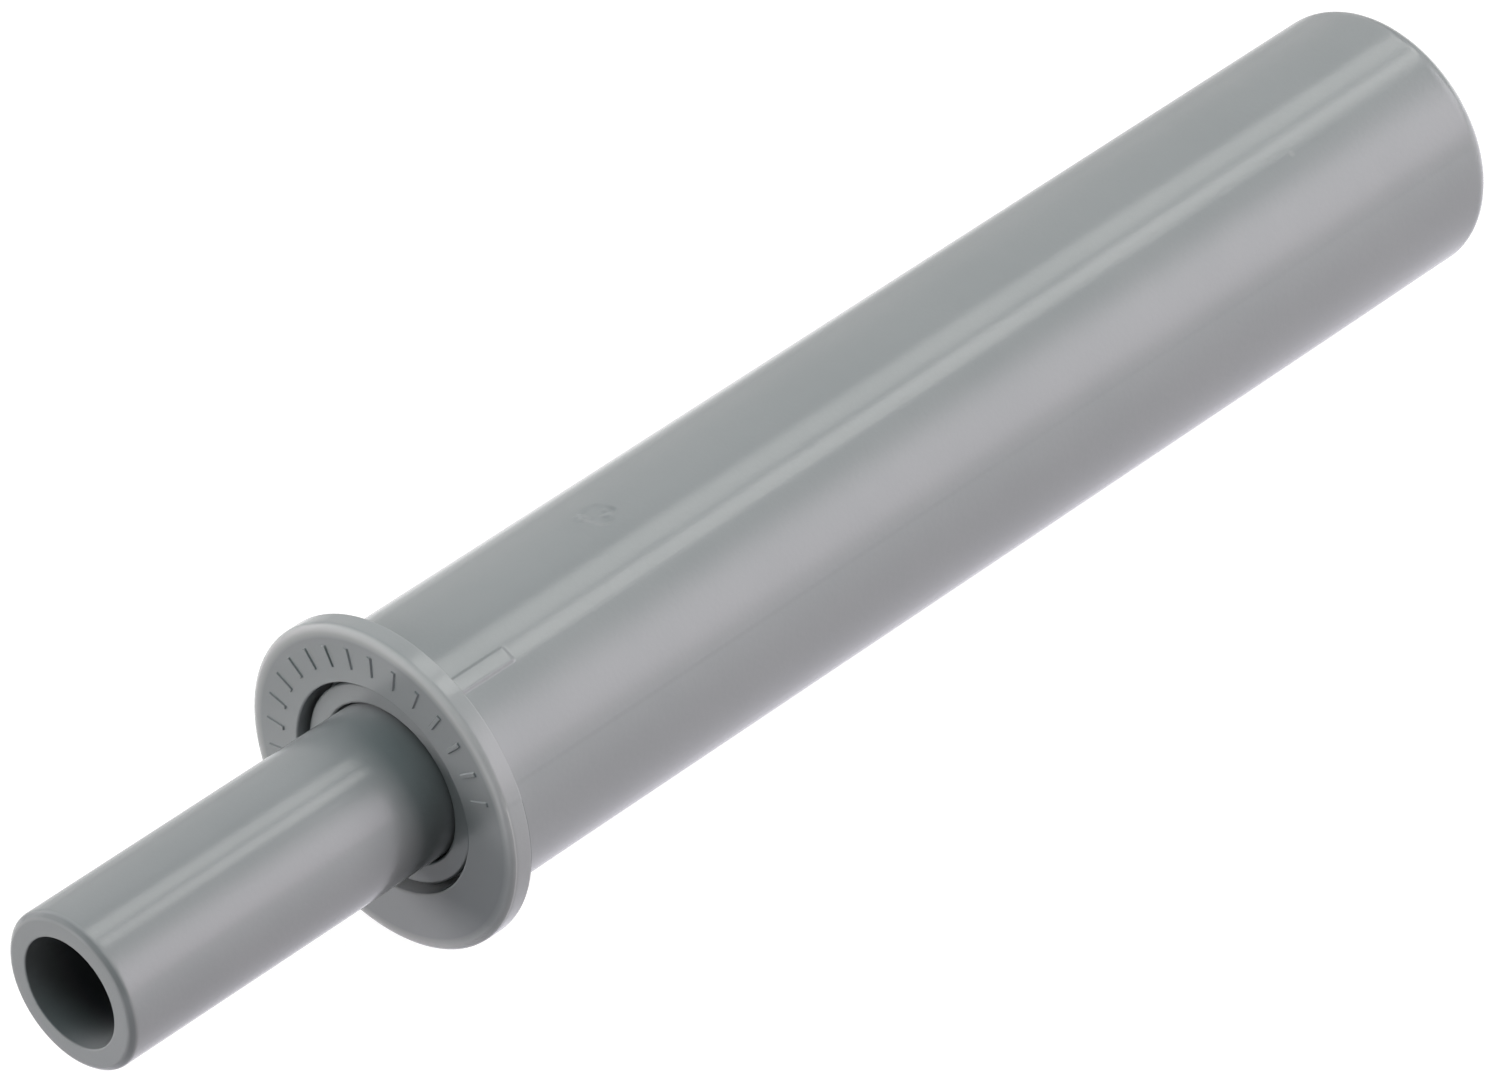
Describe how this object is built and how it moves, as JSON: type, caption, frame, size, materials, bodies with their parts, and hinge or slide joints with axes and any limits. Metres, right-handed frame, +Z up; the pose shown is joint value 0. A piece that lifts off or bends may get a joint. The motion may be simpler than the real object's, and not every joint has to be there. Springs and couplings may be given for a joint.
{
  "type": "soft close damper",
  "caption": "Push-in soft close damper for a cabinet door: round barrel with a thin flange and a sprung, oil-braked hollow plunger that the closing door pushes in.",
  "frame": {"origin": "centre of the flange's seat plane, on the damper's axis", "axes": "+Y along the barrel into the cabinet side, -Y out towards the door; +Z up as the damper lies in a horizontal hole; +X to the right seen from the door"},
  "size_m": [0.012, 0.065, 0.012],
  "materials": {
    "housing_plastic": "satin",
    "bush_plastic": "satin",
    "plunger_plastic": "satin",
    "spring_steel": "satin",
    "rod_steel": "polished",
    "cartridge_plastic": "satin",
    "cap_plastic": "satin",
    "seal_rubber": "matte",
    "washer_plastic": "satin",
    "foam": "matte",
    "piston_plastic": "satin",
    "valve_plastic": "satin"
  },
  "bodies": {
    "housing_body": {"housing": "housing_plastic", "guide_bush": "bush_plastic", "cylinder": "cartridge_plastic", "front_cap": "cap_plastic", "rod_seal": "seal_rubber", "seal_washer": "washer_plastic", "foam_sleeve": "foam", "return_spring": "spring_steel"},
    "plunger_body": {"plunger": "plunger_plastic", "piston_rod": "rod_steel", "piston": "piston_plastic", "valve_plate": "piston_plastic", "piston_clip": "spring_steel"},
    "valve_ring_body": {"valve_ring": "valve_plastic"}
  },
  "joints": [
    {"name": "plunger_slide", "type": "slide", "parent": "housing_body", "child": "plunger_body", "axis": [0, 1, 0], "range_m": [0, 0.013], "stiffness_N_per_m": 270, "springref_m": -0.004, "deforming": ["return_spring"]},
    {"name": "valve_ring_float", "type": "slide", "parent": "plunger_body", "child": "valve_ring_body", "axis": [0, 1, 0], "range_m": [0, 0.00026]}
  ]
}
